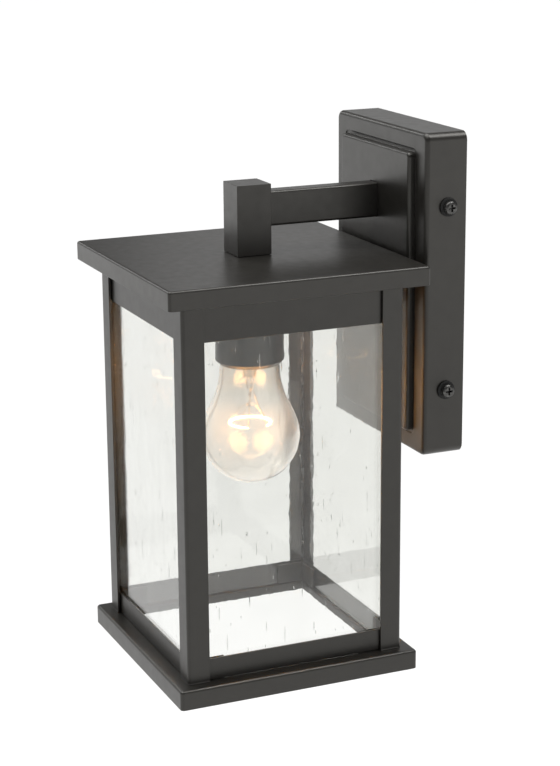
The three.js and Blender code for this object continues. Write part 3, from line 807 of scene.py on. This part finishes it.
def make_post(heights_above_roof, outer, leg):
    """An L post whose foot flares a little, as the coating does where it bridges the joint."""
    low, high = heights_above_roof
    outlines = []
    for grown, height in ((0.45, low), (0.12, low + 0.35), (0, low + 0.8), (0, high)):
        outline = angle_section(outer + grown, leg + grown, 1.6 + grown, 2.2 + grown)
        outlines.append([(x, y, height) for x, y in outline])
    return lofted(outlines)


def make_cage():
    """Posts, rails and corner clips; opposite rails and all corners are alike."""
    post_low, post_high = node_box("corner_post_front_right")
    clip_low, clip_high = node_box("glass_clip_front_right")
    face = node_box("top_rail_right")[1].x
    for index, (side, corner) in enumerate(zip(SIDES, CORNERS)):
        place = turned_to(index)
        post = make_post(heights(f"corner_post_{corner}"), post_high.x, post_high.x - post_low.x)
        finished(f"corner_post_{corner}", post, place, 0.15, crease=25)
        for level in ("top", "bottom"):
            node = f"{level}_rail_{side}"
            rail_low, rail_high = node_box(node)
            half = max(rail_high.x - rail_low.x, rail_high.y - rail_low.y) / 2
            rail = block(-half, half, -face, -face + SHEET, *heights(node))
            finished(node, rail, place, 0.25)
        wing = clip_high.x - clip_low.x
        clip = extruded(angle_section(clip_high.x, wing, 1.0, 0.8), *heights(f"glass_clip_{corner}"))
        finished(f"glass_clip_{corner}", clip, place, 0.15)


# Glass -------------------------------------------------------------------------------------------

SEEDS_PER_PANE = 110
LONG_SEED_SHARE = 0.22


def seed(centre, *half_sizes):
    """A drawn-out bubble: a closed hollow whose faces point into its own air."""
    downwards = [(1 - step / 3) * QUARTER for step in range(1, 6)]
    profile = [(0, 1), *[(math.cos(angle), math.sin(angle)) for angle in downwards], (0, -1)]
    return moved(turned(profile, 8), Matrix.LocRotScale(centre, None, half_sizes))


def cut_sheet(half, face, thickness, bottom, top, draw):
    """A pane whose upright edges are snapped and rubbed down by hand, so never quite straight."""
    levels = 110
    outlines = []
    for level in range(levels + 1):
        height = bottom + (top - bottom) * level / levels
        outline = []
        for side in (1, -1):
            end = half - draw.uniform(0.0, 0.7)
            outer = draw.uniform(0.2, 1.15)
            inner = draw.uniform(0.2, 1.15)
            corners = [(end - outer, -face), (end, -face + outer)]
            corners += [(end, -face + thickness - inner), (end - inner, -face + thickness)]
            outline += [(side * x, y, height) for x, y in corners[::side]]
        outlines.append(outline)
    return lofted(outlines)


def clear_piece(node, mesh, place, crease):
    """A glass piece, whose inner and outer faces keep the directions they have."""
    target = scene_object("fine_" + node, moved(mesh, place))
    target.data.shade_smooth()
    target.data.set_sharp_from_angle(angle=math.radians(crease))
    dressed(target, node)


def make_panes():
    """Four panes with ground edges. Every pane has its own scatter of seeds, drawn out upwards."""
    draw = random.Random(7)
    inner_low, outer_high = node_box("glass_pane_right")
    face = outer_high.x
    thickness = face - inner_low.x
    for index, side in enumerate(SIDES):
        node = f"glass_pane_{side}"
        low, high = node_box(node)
        half = max(high.x - low.x, high.y - low.y) / 2
        bottom, top = heights(node)
        pane = outward(cut_sheet(half, face, thickness, bottom, top, draw))
        middle = -face + thickness / 2
        for _ in range(SEEDS_PER_PANE):
            long_seed = draw.random() < LONG_SEED_SHARE
            half_length = draw.uniform(2.2, 5.5) if long_seed else draw.uniform(0.5, 1.5)
            half_width = draw.uniform(0.14, 0.34)
            half_depth = draw.uniform(0.07, 0.16)
            x = draw.uniform(-half + 4, half - 4)
            y = middle + draw.uniform(-0.6, 0.6)
            z = draw.uniform(bottom + 8, top - 8)
            merged(pane, seed((x, y, z), half_width, half_depth, half_length))
        clear_piece(node, pane, turned_to(index), 40)


# Threaded tube and lampholder --------------------------------------------------------------------


def make_threaded_tube():
    low, high = heights("threaded_tube")
    pitch = 0.94
    bore = 3.4
    radius = 4.9
    rows = threaded_rows(radius, low + 0.6, high - 0.6, pitch, 5)
    profile = [(bore, low), (radius - 0.7, low), *rows, (radius - 0.7, high), (bore, high)]
    finished("threaded_tube", turned(profile, 36, thread(0.45, pitch, 2, len(rows))))
    washer_low, washer_high = heights("roof_lock_washer")

    def teeth(index, height, angle):
        return 0.0 if index in (0, 3) else 0.5 * math.cos(12 * angle) - 0.5

    inner = NIPPLE_HOLE
    ring = [(inner, washer_low), (8.2, washer_low), (8.2, washer_high), (inner, washer_high)]
    finished("roof_lock_washer", turned(ring, 96, teeth))
    for node in ("roof_nut", "socket_nut"):
        finished(node, hexagon_nut(14, *heights(node), NIPPLE_HOLE))


CUP_RADIUS = 20.7
CUP_RIM_RADIUS = 18.9
CUP_CHAMFER = 2.2
CUP_SHEET = 1.0


def make_cup():
    """A drawn cup with a round shoulder and its rim necked in."""
    low, top = heights("socket_cup")
    inner = CUP_RADIUS - CUP_SHEET
    shoulder = 2.2
    profile = [(NIPPLE_HOLE, top)]
    for step in range(7):
        angle = step / 6 * QUARTER
        reach = CUP_RADIUS - shoulder + shoulder * math.sin(angle)
        profile.append((reach, top - shoulder + shoulder * math.cos(angle)))
    profile += [(CUP_RADIUS, low + CUP_CHAMFER + 0.5), (CUP_RADIUS - 0.06, low + CUP_CHAMFER)]
    profile += [(CUP_RIM_RADIUS + 0.05, low + 0.3), (CUP_RIM_RADIUS - 0.2, low)]
    profile += [(CUP_RIM_RADIUS - 0.8, low), (CUP_RIM_RADIUS - 1.0, low + 0.3)]
    profile += [(inner, low + CUP_CHAMFER), (inner, top - shoulder), (inner - 1, top - CUP_SHEET)]
    profile += [(NIPPLE_HOLE, top - CUP_SHEET)]
    finished("socket_cup", turned(profile, 72), crease=15)


THREAD_PITCH = 3.6286
CAP_RADIUS = 12.9
CAP_THREAD_DEPTH = 0.9
THREAD_CLEARANCE = 0.45
ROWS_PER_TURN = 8


def make_lampholder():
    """Porcelain body, rolled brass screw shell and the bent contact spring."""
    low, top = heights("socket_body")
    radius = 18.4
    pocket = 14.2
    pocket_top = heights("socket_screw_shell")[1] + 0.8
    body = [(2, top), (radius - 3, top), (radius - 1.2, top - 0.6), (radius - 0.2, top - 2)]
    body += [(radius, top - 3.4), (radius, low + 1.4), (radius - 0.4, low + 0.4), (radius - 1.4, low)]
    body += [(pocket + 1.2, low), (pocket + 0.3, low + 0.4), (pocket, low + 1.2), (pocket, pocket_top)]
    body += [(2, pocket_top)]
    finished("socket_body", turned(body, 56))

    shell_low, shell_high = heights("socket_screw_shell")
    inside = CAP_RADIUS + THREAD_CLEARANCE
    profile = threaded_rows(inside, shell_low, shell_high, THREAD_PITCH, ROWS_PER_TURN)
    profile += [(inside + 0.5, z) for _, z in reversed(profile)]
    swell = thread(CAP_THREAD_DEPTH, THREAD_PITCH, 0, len(profile))
    finished("socket_screw_shell", turned(profile, 56, swell))

    spring_low, spring_high = heights("socket_contact_spring")
    width = 5.0
    sheet = 0.5
    rise = spring_high - spring_low - sheet
    line = []
    for i in range(13):
        x = -8 + 11 * i / 12
        drop = 0.5 - 0.5 * math.cos(min(1.0, i / 6) * math.pi)
        line.append((x, spring_high - sheet - rise * drop))
    outline = line + [(x, z + sheet) for x, z in reversed(line)]
    strip = moved(extruded(outline, -width / 2, width / 2), Matrix.Rotation(QUARTER, 4, "X"))
    finished("socket_contact_spring", strip, LANTERN, 0.08)


# Bulb --------------------------------------------------------------------------------------------

BULB_LOW, BULB_TOP = heights("bulb_glass")
BULB_RADIUS = (node_box("bulb_glass")[1].x - node_box("bulb_glass")[0].x) / 2
BULB_CENTRE = BULB_LOW + BULB_RADIUS
BULB_WALL = 0.8
NECK_RADIUS = 18.3
NECK_TOP_RADIUS = 13.2
CUP_LOW = heights("socket_cup")[0]
FILAMENT_LOW, FILAMENT_HIGH = heights("bulb_filament")
FILAMENT_HEIGHT = (FILAMENT_LOW + FILAMENT_HIGH) / 2
RING_RADIUS = 12.5
RING_GAP = 0.5


def bezier(start, control, last_control, end, steps):
    """Points of a cubic curve after its start."""
    points = []
    for i in range(1, steps + 1):
        t = i / steps
        weights = ((1 - t) ** 3, 3 * t * (1 - t) ** 2, 3 * t * t * (1 - t), t ** 3)
        corners = (start, control, last_control, end)
        points.append(tuple(sum(w * c[axis] for w, c in zip(weights, corners)) for axis in (0, 1)))
    return points


def bulb_profile(inset):
    """(radius, height) points from the bottom of the bulb to the top of its neck."""
    radius = BULB_RADIUS - inset
    round_end = 0.13 * math.pi
    steps = 26
    points = [(0.0, BULB_CENTRE - radius)]
    for i in range(1, steps + 1):
        angle = -QUARTER + i / steps * (QUARTER + round_end)
        points.append((radius * math.cos(angle), BULB_CENTRE + radius * math.sin(angle)))
    start = points[-1]
    neck = (NECK_RADIUS - inset, CUP_LOW - 4)
    top = (NECK_TOP_RADIUS - inset, BULB_TOP)
    leave = (start[0] - 9 * math.sin(round_end), start[1] + 9 * math.cos(round_end))
    points += bezier(start, leave, (neck[0], neck[1] - 12), neck, 14)
    points += bezier(neck, (neck[0], neck[1] + 5), (top[0], top[1] - 4), top, 8)
    return points


def make_bulb_glass():
    shell = turned(bulb_profile(0) + bulb_profile(BULB_WALL)[::-1], 96)
    clear_piece("bulb_glass", outward(shell), LANTERN, 60)


def make_stem():
    """The flared mount, its flat pinch, the tube below it and the button with its support wires."""
    low, top = heights("bulb_stem")
    flare = [(9.5, top), (9.4, top - 0.8), (7.2, top - 3.4), (4.8, top - 7), (3.9, top - 11)]
    flare += [(3.6, top - 14), (2.9, top - 14.2), (3.1, top - 11), (4.0, top - 7), (6.4, top - 3.4)]
    flare += [(8.6, top - 0.8), (8.7, top)]
    pinch = turned([
        (0, top - 23.2), (1.4, top - 22.8), (2.6, top - 21.4), (3.7, top - 18.5),
        (3.8, top - 16), (2.6, top - 14.4), (0, top - 14.3),
    ], 32)
    moved(pinch, Matrix.Diagonal((1.0, 0.55, 1.0, 1.0)))
    rod = turned([
        (0, low), (1.2, low + 0.2), (2.0, low + 0.9), (2.1, low + 1.6), (1.3, low + 2.5),
        (0.95, low + 4), (0.95, top - 23.6), (0, top - 23.5),
    ], 24)
    finished("bulb_stem", merged(outward(turned(flare, 40)), pinch, rod))


def ring_point(angle, radius=RING_RADIUS, height=0.0):
    return Vector((radius * math.cos(angle), radius * math.sin(angle), FILAMENT_HEIGHT + height))


def make_filament():
    """A coil of fine wire bent round into an open ring."""
    coil = 0.42
    wire = 0.1
    turns = 120
    per_turn = 8
    span = TURN - 2 * RING_GAP
    path = []
    for i in range(turns * per_turn + 1):
        share = i / (turns * per_turn)
        angle = RING_GAP + share * span
        wind = i / per_turn * TURN
        path.append(ring_point(angle, RING_RADIUS + coil * math.cos(wind), coil * math.sin(wind)))
    finished("bulb_filament", swept(path, wire, 5))


def curve_through(points, steps=8):
    """Smooth points through a few given ones."""
    known = [Vector(point) for point in points]
    known = [2 * known[0] - known[1], *known, 2 * known[-1] - known[-2]]
    path = []
    for a, b, c, d in zip(known, known[1:], known[2:], known[3:]):
        for i in range(steps):
            t = i / steps
            path.append(0.5 * (
                2 * b + (c - a) * t + (2 * a - 5 * b + 4 * c - d) * t * t + (3 * b - a - 3 * c + d) * t ** 3
            ))
    path.append(known[-2])
    return path


def make_wires():
    """Two lead wires out of the pinch, and fine support wires from the button to the coil."""
    stem_low, stem_top = heights("bulb_stem")
    for hand, sign in (("right", -1), ("left", 1)):
        end = ring_point(sign * RING_GAP)
        path = curve_through([
            (3.0, sign * 0.9, stem_top - 21.5),
            (4.2, sign * 2.2, stem_top - 28),
            (8.0, sign * 4.2, stem_top - 35.5),
            (end.x, end.y, FILAMENT_HEIGHT + 0.75),
        ])
        finished(f"bulb_lead_wire_{hand}", swept(path, 0.3, 8))
    supports = []
    for angle in (0.3 * math.pi, 0.65 * math.pi, math.pi, 1.35 * math.pi, 1.7 * math.pi):
        out = Vector((math.cos(angle), math.sin(angle), 0))
        button = Vector((0, 0, stem_low + 1.2))
        path = curve_through([
            button + out * 1.9,
            button + out * 5 + Vector((0, 0, -2.0)),
            ring_point(angle, RING_RADIUS - 1.5, 2.6),
            ring_point(angle, RING_RADIUS, 0.6),
        ], 5)
        supports.append(swept(path, 0.11, 6))
    wires = piece("filament_supports", merged(*supports), LANTERN)
    softened(wires)
    wires.data.materials.append(finish_for("nickel"))
    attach(wires, BODY_OF["bulb_filament"])


def make_cap():
    """The rolled screw cap, its black glass insulator and the soldered contact."""
    low, top = heights("bulb_cap")
    wall = 0.6
    skirt = 3.0
    mouth = 8.5
    inner = CAP_RADIUS - wall
    start = [(CAP_RADIUS - 0.25, low), (CAP_RADIUS, low + 0.3), (CAP_RADIUS, low + skirt - 0.8)]
    rows = threaded_rows(CAP_RADIUS, low + skirt, top - 2.2, THREAD_PITCH, ROWS_PER_TURN)
    profile = [
        *start, *rows, (CAP_RADIUS - 0.9, top - 1.2), (CAP_RADIUS - 2.0, top - 0.3),
        (CAP_RADIUS - 3.0, top), (mouth, top), (mouth, top - wall), (CAP_RADIUS - 3.0, top - wall),
        (inner - CAP_THREAD_DEPTH, rows[-1][1]), (inner - CAP_THREAD_DEPTH, rows[0][1]),
        (inner, low + skirt - 0.8), (inner, low),
    ]
    swell = thread(CAP_THREAD_DEPTH, THREAD_PITCH, len(start), len(rows), 5)
    finished("bulb_cap", turned(profile, 56, swell))
    base, rise = heights("bulb_cap_insulator")
    insulator = [(0, base), (10.6, base), (11, base + 0.2), (10.2, base + 1.0), (8.0, base + 1.9)]
    insulator += [(6.4, rise - 0.3), (5.6, rise), (0, rise)]
    finished("bulb_cap_insulator", turned(insulator, 48))
    foot, tip = heights("bulb_contact")
    solder = [(0, foot), (4.5, foot), (4.6, foot + 0.2), (4.1, foot + 0.7), (3.0, tip - 0.25)]
    solder += [(1.6, tip - 0.03), (0, tip)]
    finished("bulb_contact", turned(solder, 40))


for make in (
    make_backplate, make_mounting_pan, make_side_screws, make_arm, make_hanger_block, make_roof,
    make_top_plate, make_base, make_cage, make_panes, make_threaded_tube, make_cup, make_lampholder,
    make_bulb_glass, make_stem, make_filament, make_wires, make_cap,
):
    make()

# Studio ------------------------------------------------------------------------------------------

FLOOR_DROP = 1.1
FLOOR_SIZE = 60.0


def make_floor():
    mesh = bmesh.new()
    bmesh.ops.create_grid(mesh, x_segments=4, y_segments=4, size=FLOOR_SIZE / MM)
    floor = scene_object("floor", mesh)
    floor.location.z = cad_bounds[0].z - FLOOR_DROP
    look = Look("pale_floor").set(Roughness=0.9, Specular_IOR_Level=0.1)
    look.set(Base_Color=look.blended(look.noise(60, 3), (0.962, 0.962, 0.957), (0.970, 0.970, 0.965)))
    floor.data.materials.append(look.material)


def make_world():
    """A dim room that the camera sees as white, directly and through the glass."""
    world = bpy.data.worlds.new("studio")
    bpy.context.scene.world = world
    world.use_nodes = True
    tree = world.node_tree

    def add(kind, *inputs):
        return fed(tree, tree.nodes.new("ShaderNode" + kind), *inputs)

    room = fed(tree, tree.nodes["Background"], (0.97, 0.98, 1.0, 1), ROOM_LIGHT)
    white = add("Background", (1, 1, 1, 1), WHITE_LIGHT)
    rays = add("LightPath").outputs
    seen = add("Math", rays["Is Camera Ray"], rays["Is Transmission Ray"])
    seen.operation = "MAXIMUM"
    mix = add("MixShader", seen.outputs[0], room.outputs[0], white.outputs[0])
    fed(tree, tree.nodes["World Output"], mix.outputs[0])


def add_light(name, kind, place, target, energy, **settings):
    data = bpy.data.lights.new(name, kind)
    data.energy = energy
    for key, value in settings.items():
        setattr(data, key, value)
    light = bpy.data.objects.new(name, data)
    aim = (target - place).to_track_quat("-Z", "Y")
    light.matrix_world = Matrix.LocRotScale(place, aim, None)
    bpy.context.scene.collection.objects.link(light)
    return light


def add_softbox(name, offset, width, height, brightness):
    """A flat light of even brightness that faces the lantern; white paper in the picture is 1."""
    energy = brightness * math.pi * width * height
    place = STUDIO_CENTRE + Vector(offset)
    shape = {"shape": "RECTANGLE", "size": width, "size_y": height}
    add_light(name, "AREA", place, STUDIO_CENTRE, energy, **shape)


ROOM_LIGHT = 0.12
WHITE_LIGHT = 1.05
SUN_STRENGTH = 3.22
STUDIO_CENTRE = Vector((0, AXIS_Y * MM, (cad_bounds[0].z + cad_bounds[1].z) / 2))


def make_lights():
    """Sky light, softboxes round the lantern, and two warm lamps in the bulb beside its filament."""
    above = STUDIO_CENTRE + Vector((-0.6, -1.0, 3.0))
    add_light("sky", "SUN", above, STUDIO_CENTRE, SUN_STRENGTH, angle=math.radians(60))
    add_softbox("left_softbox", (-1.9, -1.0, 0.27), 1.6, 1.2, 0.45)
    add_softbox("right_softbox", (1.9, 0.95, 0.20), 1.5, 1.1, 0.75)
    add_softbox("back_softbox", (-1.7, 1.28, 0.95), 1.55, 0.9, 0.8)
    add_softbox("left_edge_softbox", (-1.8, -0.55, 0.95), 0.5, 0.4, 5.0)
    add_softbox("top_softbox", (0.34, 0.5, 1.15), 0.6, 0.6, 7.5)
    for side in (1, -1):
        beside = Vector((math.cos(CAMERA_AZIMUTH), math.sin(CAMERA_AZIMUTH), 0)) * (side * LAMP_OFFSET)
        place = (Vector((0, AXIS_Y, ROOF_TOP + FILAMENT_HEIGHT)) + beside) * MM
        below = place - Vector((0, 0, 1))
        settings = {"color": LAMP_COLOUR, "shadow_soft_size": LAMP_RADIUS * MM}
        lamp = add_light("lamp", "POINT", place, below, LAMP_POWER / 2, **settings)
        lamp.visible_camera = False
        lamp.visible_transmission = False


LAMP_POWER = 0.47
LAMP_RADIUS = 9.5
LAMP_OFFSET = 11.5
LAMP_COLOUR = (1.0, 0.46, 0.13)

# The camera stands at the given angle to the wall and looks a little past the lantern's middle.
CAMERA_AZIMUTH = math.radians(66.49)
CAMERA_ELEVATION = math.radians(15.205)
CAMERA_ROLL = math.radians(-0.405)
CAMERA_DISTANCE = 1.1922
CAMERA_RIGHT = 0.0186
CAMERA_UP = -0.0774
CAMERA_LENS = 94.3


def make_camera():
    back = Vector((
        math.sin(CAMERA_AZIMUTH) * math.cos(CAMERA_ELEVATION),
        -math.cos(CAMERA_AZIMUTH) * math.cos(CAMERA_ELEVATION),
        math.sin(CAMERA_ELEVATION),
    ))
    right = Vector((math.cos(CAMERA_AZIMUTH), math.sin(CAMERA_AZIMUTH), 0))
    up = back.cross(right)
    rolled_right = right * math.cos(CAMERA_ROLL) + up * math.sin(CAMERA_ROLL)
    rolled_up = up * math.cos(CAMERA_ROLL) - right * math.sin(CAMERA_ROLL)
    roof_centre = Vector((0, AXIS_Y, ROOF_TOP)) * MM
    place = roof_centre + back * CAMERA_DISTANCE + right * CAMERA_RIGHT + up * CAMERA_UP
    data = bpy.data.cameras.new("camera")
    data.lens = CAMERA_LENS
    data.sensor_width = 36.0
    data.clip_end = 200.0
    camera = bpy.data.objects.new("camera", data)
    turn = Matrix((rolled_right, rolled_up, back)).transposed().to_4x4()
    camera.matrix_world = Matrix.Translation(place) @ turn
    bpy.context.scene.collection.objects.link(camera)
    bpy.context.scene.camera = camera


make_floor()
make_world()
make_lights()
make_camera()
scene = bpy.context.scene
scene.view_settings.view_transform = "Standard"
scene.cycles.max_bounces = 24
scene.cycles.transmission_bounces = 20
scene.cycles.glossy_bounces = 8
scene.cycles.transparent_max_bounces = 16
